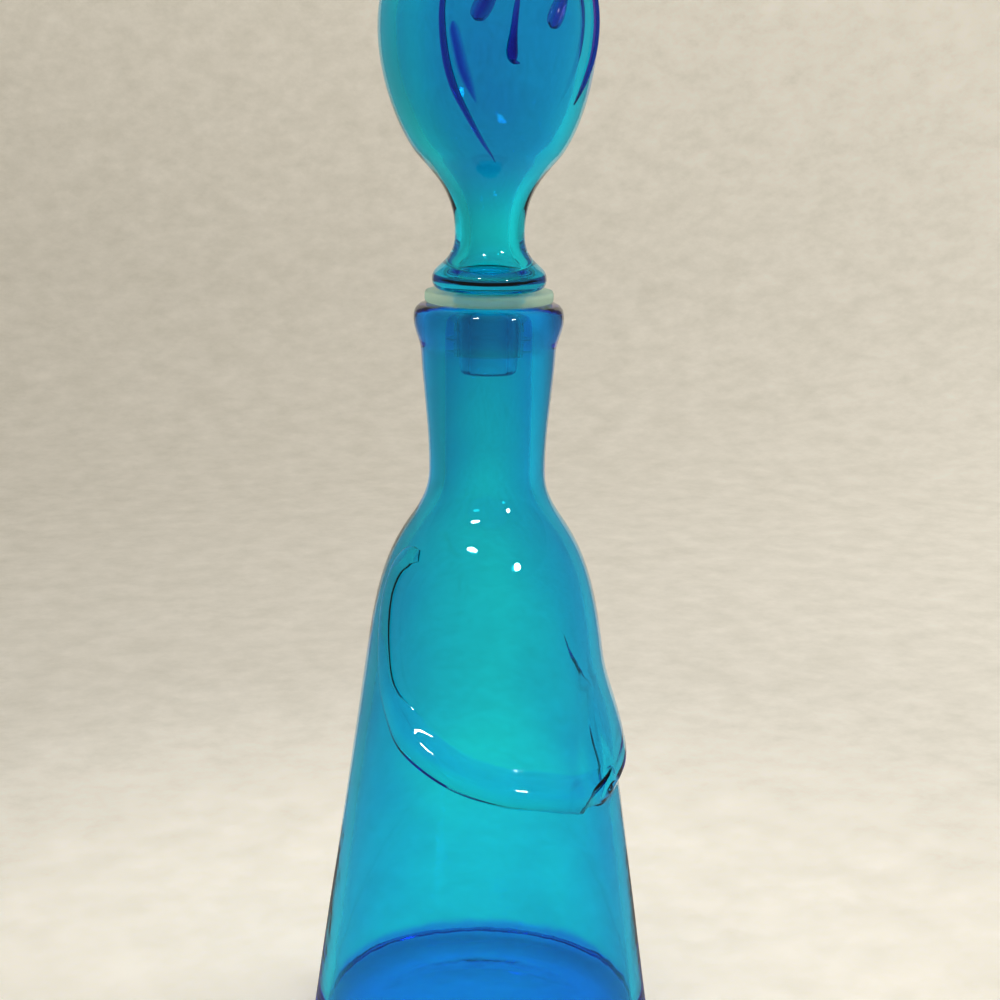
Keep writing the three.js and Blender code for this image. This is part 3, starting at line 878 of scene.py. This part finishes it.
def flank_shade_share(tree, where):
    """How much painted shade a place gets on a flank of the bottle: 0 in the middle of its front and back and
    at the floor, and 1 between them, higher up."""
    turn = node(tree, "ShaderNodeVectorRotate", {"Vector": where, "Angle": math.radians(-UNSHADED_TURN)},
                rotation_type="Z_AXIS")
    level = node(tree, "ShaderNodeVectorMath", {0: turn.outputs["Vector"], 1: (1, 1, 0)},
                 operation="MULTIPLY")
    facing = node(tree, "ShaderNodeVectorMath", {0: level.outputs["Vector"]}, operation="NORMALIZE")
    across = node(tree, "ShaderNodeSeparateXYZ", {0: facing.outputs["Vector"]}).outputs["X"]
    share = worked_out(tree, "MULTIPLY", across, across)
    height = node(tree, "ShaderNodeSeparateXYZ", {0: where}).outputs["Z"]
    return worked_out(tree, "MULTIPLY", share, ranged(tree, height, FLOOR_THICK, FLANK_FULL_Z))


def streak_share(tree, where, cloud):
    """1 where the head's glass is deepest, between the strands of hair, and 0 at its sides and in the
    stem."""
    turn = node(tree, "ShaderNodeVectorRotate", {"Vector": where, "Angle": math.radians(-FACE_TURN)},
                rotation_type="Z_AXIS")
    parts = node(tree, "ShaderNodeSeparateXYZ", {0: turn.outputs["Vector"]})
    aside = worked_out(tree, "ABSOLUTE", parts.outputs["X"])
    waved = worked_out(tree, "MULTIPLY_ADD", cloud, STREAK_WAVE, aside)
    across = ranged(tree, waved, STREAK_IN, STREAK_OUT, 1.0, 0.0, "SMOOTHSTEP")
    up = ranged(tree, parts.outputs["Z"], STEM_Z, JAW_Z + STREAK_RISE, kind="SMOOTHSTEP")
    return worked_out(tree, "MULTIPLY", across, up)


def milky_plastic():
    material, tree = new_material("milky_seal")
    where = node(tree, "ShaderNodeTexCoord").outputs["Object"]
    cloud = node(tree, "ShaderNodeTexNoise", {"Vector": where, "Scale": SEAL_SCALE, "Detail": 4.0})
    colour = mixed(tree, cloud.outputs["Fac"], *SEAL_COLOURS)
    bump = node(tree, "ShaderNodeBump", {"Height": cloud.outputs["Fac"], "Strength": 0.1, "Distance": 0.0003})
    height = node(tree, "ShaderNodeSeparateXYZ", {0: where}).outputs["Z"]
    foot = FLANGE_TOP_Z - FLANGE_H
    dull = ranged(tree, height, foot - FIN_H, foot, SKIRT_DULL, FLANGE_DULL)
    clear = ranged(tree, height, foot - FIN_H, foot, SKIRT_CLEAR, FLANGE_CLEAR)
    shader = node(tree, "ShaderNodeBsdfPrincipled", {
        "Base Color": colour,
        "Roughness": dull,
        "IOR": SEAL_IOR,
        "Transmission Weight": clear,
        "Normal": bump.outputs["Normal"],
    })
    node(tree, "ShaderNodeOutputMaterial", {"Surface": shader.outputs["BSDF"]})
    return material


def pale_paper():
    material, tree = new_material("pale_paper")
    where = node(tree, "ShaderNodeTexCoord").outputs["Object"]
    cloud = node(tree, "ShaderNodeTexNoise", {
        "Vector": where, "Scale": PAPER_GRAIN, "Detail": 8.0, "Roughness": 0.75,
    })
    mottle = ranged(tree, cloud.outputs["Fac"], 0.3, 0.7)
    colour = mixed(tree, mottle, PAPER_DARK, PAPER_PALE)
    # The paper glows though it is no lamp: painted light, stronger on one side of the wall and higher up,
    # with painted shade on the other side
    turn = node(tree, "ShaderNodeVectorRotate", {
        "Vector": where, "Angle": math.radians(90 - BRIGHT_SIDE_TURN),
    }, rotation_type="Z_AXIS")
    parts = node(tree, "ShaderNodeSeparateXYZ", {0: turn.outputs["Vector"]})
    far = ranged(tree, parts.outputs["X"], -WALL_GLOW_SPAN, WALL_GLOW_SPAN, *WALL_GLOW)
    high = ranged(tree, parts.outputs["Z"], *HIGH_GLOW_Z, 0.0, HIGH_GLOW)
    wall = worked_out(tree, "ADD", far, high)
    away = node(tree, "ShaderNodeVectorMath", {0: where}, operation="LENGTH").outputs["Value"]
    apart = ranged(tree, away, NEAR_R, FAR_R, kind="SMOOTHSTEP")
    glow = node(tree, "ShaderNodeMix", {0: apart, 2: FLOOR_GLOW, 3: wall})
    # a painted pool of light on the paper under the foot
    painted_foot_light = ranged(tree, away, PUNT_R, FOOT_R, PAINTED_FOOT_LIGHT, 0.0, "SMOOTHSTEP")
    strength = worked_out(tree, "ADD", glow.outputs[0], painted_foot_light)
    shader = node(tree, "ShaderNodeBsdfPrincipled", {
        "Base Color": colour,
        "Roughness": 0.9,
        "Specular IOR Level": 0.2,
        "Emission Color": colour,
        "Emission Strength": strength,
    })
    node(tree, "ShaderNodeOutputMaterial", {"Surface": shader.outputs["BSDF"]})
    return material


# The glass pieces
turquoise = glass("turquoise_glass", [
    # Near the floor the tints are deep blue, and up to 60 mm a little darker: painted blue light and painted
    # shade, for the shadowed paper under and around the foot, seen through the glass
    (0.0, (0.28, 0.42, 1.0, 1)),
    (FLOOR_THICK + 1 * MM, (0.28, 0.40, 1.0, 1)),
    (FLOOR_THICK + 4 * MM, (0.26, 0.88, 0.93, 1)),
    (60 * MM, (0.26, 0.97, 0.97, 1)),
    (BEND_Z - 8 * MM, (0.26, 1.0, 1.0, 1)),
    (THROAT_Z, (0.26, 0.96, 1.0, 1)),
    (MOUTH_Z - LIP_H - 4 * MM, (0.25, 0.98, 1.0, 1)),
    (MOUTH_Z - LIP_H + 4 * MM, (0.28, 0.78, 0.97, 1)),
], (0.10, 0.935, 0.993, 1), shaded_flanks=True)
azure = glass("azure_glass", [
    (COLLAR_Z, (0.28, 1.0, 1.0, 1)),
    (STEM_Z, (0.26, 1.0, 1.0, 1)),
    (JAW_Z, (0.25, 0.95, 1.0, 1)),
    (HEAD_Z, (0.25, 0.83, 1.0, 1)),
], (0.10, 0.96, 0.995, 1), streak=STREAK)
cobalt = glass("cobalt_glass", [
    (JAW_Z, (0.34, 0.50, 0.82, 1)),
    (HEAD_Z - 8 * MM, (0.36, 0.48, 0.82, 1)),
    (HEAD_Z + 5 * MM, (0.60, 0.42, 0.76, 1)),
    (CROWN_Z, (0.56, 0.38, 0.72, 1)),
], (0.44, 0.38, 0.86, 1), COBALT_DENSITY)
shade = glass("shade_in_the_glass", [
    (JAW_Z, (0.9, 0.9, 1.0, 1)),
    (CROWN_Z, (0.9, 0.9, 1.0, 1)),
], (0.24, 0.34, 0.88, 1), SHADE_DENSITY, ior=1.0)
milky = milky_plastic()

outside = bottle_outside().polished().points
split = len(bottle_outline().points) - len(bottle_inside().points)
bottle_surface = Surface(outside, bottle_point)
head_surface = Surface(head_outside().polished().points, head_point)

bottle = turned("bottle_glass", bottle_outline().points, bottle_point, lambda i: i >= split)

pieces = [
    (fused(bottle, [arm_left(bottle_surface), arm_right(bottle_surface)]),
     ["bottle_body", "arm_left", "arm_right"], "bottle", "turquoise_glass", turquoise),
    (turned("seal_plastic", seal_outline().points, plain_point),
     ["seal_sleeve"], "seal", "milky_seal", milky),
    (joined(
        turned("head_glass", head_outline().points, head_point),
        turned("head_hollow", head_hollow().points, head_point, lambda i: True),
    ), ["stopper_head"], "stopper", "azure_glass", azure),
    (eye("eye_left_glass", head_surface, EYE_TURNS[0], EYE_LIFTS[0], EYE_THICKS[0]),
     ["eye_left"], "stopper", "cobalt_glass", cobalt),
    (eye("eye_right_glass", head_surface, EYE_TURNS[1], EYE_LIFTS[1], EYE_THICKS[1]),
     ["eye_right"], "stopper", "cobalt_glass", cobalt),
    (nose(head_surface), ["nose"], "stopper", "cobalt_glass", cobalt),
    (strand("hair_left_glass", head_surface, [
        (-14, 0.91, 0.2), (-27, 0.79, 0.6), (-39, 0.53, 0.65), (-44, 0.21, 0.65), (-43, -0.14, 0.8),
        (-39.5, -0.41, 0.85), (-33, -0.63, 0.65), (-25.5, -0.82, 0.45), (-16.5, -0.98, 0.1),
    ]), ["hair_left"], "stopper", "cobalt_glass", cobalt),
    (strand("hair_left_shade", head_surface, [
        (-40, 0.04, 0.3), (-39.5, -0.02, 0.85), (-37.5, -0.15, 1), (-35, -0.31, 1), (-32, -0.43, 0.8),
        (-28.5, -0.56, 0.15),
    ], SHADE_W, SHADE_THICK, 1, SHADE_DEPTH), ["hair_left"], "stopper", "cobalt_glass", shade),
    (strand("hair_right_glass", head_surface, [
        (20, 0.91, 0.2), (36, 0.79, 0.6), (48, 0.53, 0.75), (51.5, 0.21, 0.8), (49.5, -0.14, 0.8),
        (43, -0.39, 0.6), (37.5, -0.56, 0.12),
    ]), ["hair_right"], "stopper", "cobalt_glass", cobalt),
]
for piece, cad_nodes, body, slot_name, material in pieces:
    piece.data.materials.clear()
    piece.data.materials.append(material)
    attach(piece, body)
    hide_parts(*cad_nodes)

paper_points = [Vector((0, -PAPER_DROP)), Vector((PAPER_FLAT_R, -PAPER_DROP))]
for i in range(1, PAPER_BEND_STEPS + 1):
    angle = math.pi / 2 * i / PAPER_BEND_STEPS
    radius = PAPER_WALL_R - PAPER_FLAT_R
    paper_points.append(Vector((PAPER_FLAT_R + radius * math.sin(angle), radius * (1 - math.cos(angle)))))
paper_points.append(Vector((PAPER_WALL_R, PAPER_TOP_Z)))


def paper_sheet(name, material, first_turn, last_turn):
    """The part of the paper between two turns, as one sheet."""
    turns = [first_turn + (last_turn - first_turn) * j / PAPER_SIDES for j in range(PAPER_SIDES + 1)]
    row = len(turns)
    points = [place(turn, p.x, p.y) for p in paper_points for turn in turns]
    faces = []
    for i in range(len(paper_points) - 1):
        for j in range(PAPER_SIDES):
            a, b = i * row + j, (i + 1) * row + j
            faces.append((a, b, b + 1, a + 1) if i else (a, b, b + 1))
    sheet = new_mesh(name, points, faces)
    sheet.data.materials.append(material)
    return sheet


# The paper is in two sheets, because the front one, behind the camera, would only dull the glass with its
# reflection
paper = pale_paper()
paper_sheet("paper_back", paper, CAMERA_TURN + FRONT_HALF_TURN, CAMERA_TURN + 360 - FRONT_HALF_TURN)
paper_front = paper_sheet("paper_front", paper, CAMERA_TURN - FRONT_HALF_TURN, CAMERA_TURN + FRONT_HALF_TURN)
paper_front.visible_glossy = False


def area_light(name, turn, elevation, away, width, height, energy):
    data = bpy.data.lights.new(name, "AREA")
    data.shape = "ELLIPSE"
    data.size = width
    data.size_y = height
    data.energy = energy
    lamp = bpy.data.objects.new(name, data)
    bpy.context.scene.collection.objects.link(lamp)
    level = math.radians(elevation)
    lamp.location = place(turn, away * math.cos(level), away * math.sin(level))
    lamp.rotation_euler = (Vector(LAMP_AIM) - lamp.location).to_track_quat("-Z", "Y").to_euler()
    return lamp


for name, values in SOFT_LIGHTS.items():
    lamp = area_light(name, *values)
    lamp.visible_glossy = False
    lamp.visible_transmission = False
for name, values in GLINTS.items():
    lamp = area_light(name, *values)
    lamp.visible_diffuse = False
    lamp.visible_camera = False

world = bpy.data.worlds.new("room")
world.use_nodes = True
world.node_tree.nodes["Background"].inputs["Color"].default_value = ROOM_COLOUR
world.node_tree.nodes["Background"].inputs["Strength"].default_value = ROOM_STRENGTH
bpy.context.scene.world = world

# The camera
camera_data = bpy.data.cameras.new("camera")
camera_data.lens = CAMERA_LENS
camera_data.sensor_width = CAMERA_SENSOR
camera = bpy.data.objects.new("camera", camera_data)
bpy.context.scene.collection.objects.link(camera)
bpy.context.scene.camera = camera
camera.location = place(CAMERA_TURN, CAMERA_AWAY, CAMERA_HEIGHT)
heading = math.radians(-CAMERA_TURN + CAMERA_ASIDE)
pitch = math.radians(CAMERA_PITCH)
ahead = Vector((math.sin(heading) * math.cos(pitch), math.cos(heading) * math.cos(pitch), -math.sin(pitch)))
camera.rotation_mode = "QUATERNION"
upright = ahead.to_track_quat("-Z", "Y")
camera.rotation_quaternion = upright @ Matrix.Rotation(math.radians(CAMERA_ROLL), 3, "Z").to_quaternion()

scene = bpy.context.scene
scene.view_settings.view_transform = "Standard"
scene.cycles.max_bounces = 24
scene.cycles.transmission_bounces = 20
scene.cycles.glossy_bounces = 12
scene.cycles.transparent_max_bounces = 16
scene.cycles.sample_clamp_indirect = 8.0
